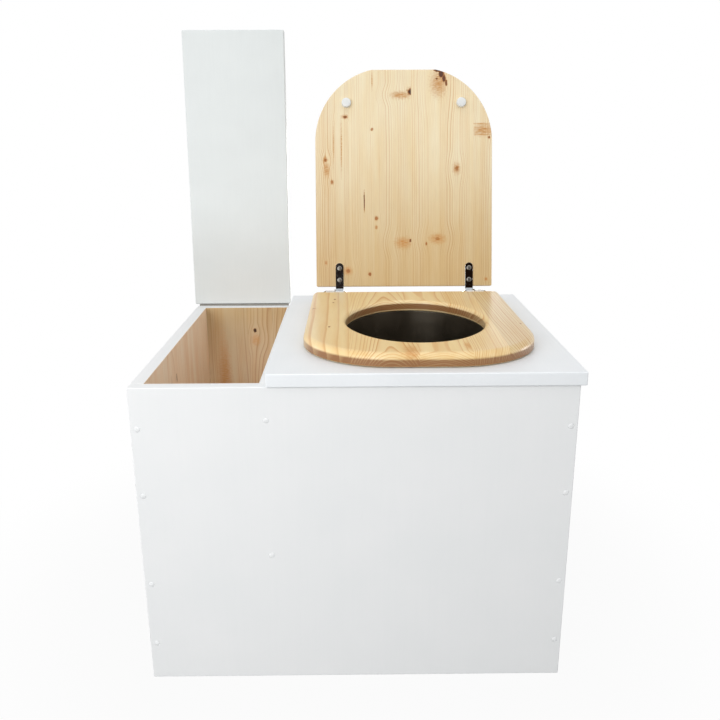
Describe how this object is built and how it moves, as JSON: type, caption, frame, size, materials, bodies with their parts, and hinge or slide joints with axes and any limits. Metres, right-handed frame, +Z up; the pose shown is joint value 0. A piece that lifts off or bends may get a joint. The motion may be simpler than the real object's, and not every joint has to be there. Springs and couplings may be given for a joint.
{
  "type": "composting toilet",
  "caption": "Box-shaped wooden composting toilet with a lidded litter compartment, a lift-up deck with seat and lid, and a removable steel bucket inside.",
  "frame": {"origin": "middle of the cabinet's footprint, on the ground", "axes": "+X to the right seen from the front, +Y to the back, +Z up"},
  "size_m": [0.587, 0.563, 0.9085],
  "materials": {
    "white_paint": "white paint, satin, with the board's grain just showing",
    "varnished_pine": "clear satin varnish on knotty pine",
    "bare_pine": "planed pine, unfinished",
    "chrome": "polished",
    "stainless": "satin rolled sheet",
    "zinc_steel": "bright zinc plate",
    "white_plastic": "moulded, satin",
    "black_plastic": "moulded, matt"
  },
  "bodies": {
    "cabinet": {"front_panel": "white_paint", "back_panel": "white_paint", "left_side_panel": "white_paint", "right_side_panel": "white_paint", "partition_panel": "bare_pine", "litter_floor": "bare_pine", "litter_floor_battens": "bare_pine", "base_panel": "bare_pine", "base_battens": "bare_pine", "front_screws": "white_paint", "back_screws": "white_paint", "litter_hinge_fixed_leaf": "zinc_steel", "litter_hinge_wire": "zinc_steel", "litter_hinge_fixed_screws": "zinc_steel", "deck_hinge_fixed_leaf": "zinc_steel", "deck_hinge_wire": "zinc_steel", "deck_hinge_fixed_screws": "zinc_steel", "bucket": "stainless", "bucket_ears": "stainless"},
    "litter_lid": {"litter_lid": "white_paint", "litter_hinge_moving_leaf": "zinc_steel", "litter_hinge_moving_screws": "zinc_steel"},
    "deck": {"deck": "white_paint", "deck_hinge_moving_leaf": "zinc_steel", "deck_hinge_moving_screws": "zinc_steel", "splash_guard": "stainless", "guard_screws": "stainless", "left_hinge_foot": "chrome", "right_hinge_foot": "chrome", "hinge_pins": "chrome", "foot_bolts": "zinc_steel", "foot_washers": "zinc_steel", "foot_nuts": "zinc_steel"},
    "seat": {"seat_ring": "varnished_pine", "seat_feet": "white_plastic", "left_seat_strap": "chrome", "right_seat_strap": "chrome", "seat_strap_screws": "zinc_steel"},
    "toilet_lid": {"toilet_lid": "varnished_pine", "lid_buffers": "white_plastic", "left_lid_strap": "chrome", "right_lid_strap": "chrome", "lid_strap_screws": "chrome"},
    "bail": {"bucket_bail": "stainless"},
    "bail_grip": {"bail_grip": "black_plastic"}
  },
  "joints": [
    {"name": "litter_lid_hinge", "type": "hinge", "parent": "cabinet", "child": "litter_lid", "pos_m": [0, 0.2385, 0.43315], "axis": [-1, 0, 0], "range_deg": [-94, 0]},
    {"name": "deck_hinge", "type": "hinge", "parent": "cabinet", "child": "deck", "pos_m": [0, 0.2385, 0.43315], "axis": [-1, 0, 0], "range_deg": [0, 95]},
    {"name": "seat_hinge", "type": "hinge", "parent": "deck", "child": "seat", "pos_m": [0.0915, 0.196, 0.4623], "axis": [-1, 0, 0], "range_deg": [0, 103]},
    {"name": "toilet_lid_hinge", "type": "hinge", "parent": "deck", "child": "toilet_lid", "pos_m": [0.0915, 0.196, 0.4623], "axis": [-1, 0, 0], "range_deg": [-103.6, 0]},
    {"name": "bail_hinge", "type": "hinge", "parent": "cabinet", "child": "bail", "pos_m": [0.0915, -0.034, 0.335], "axis": [-1, 0, 0], "range_deg": [0, 115]},
    {"name": "bail_grip_spin", "type": "hinge", "parent": "bail", "child": "bail_grip", "pos_m": [0.0915, -0.17966, 0.27], "axis": [1, 0, 0], "continuous": true}
  ],
  "couplings": [
    {"joint": "bail_hinge", "follows": "deck_hinge", "ratio": 1.21}
  ]
}
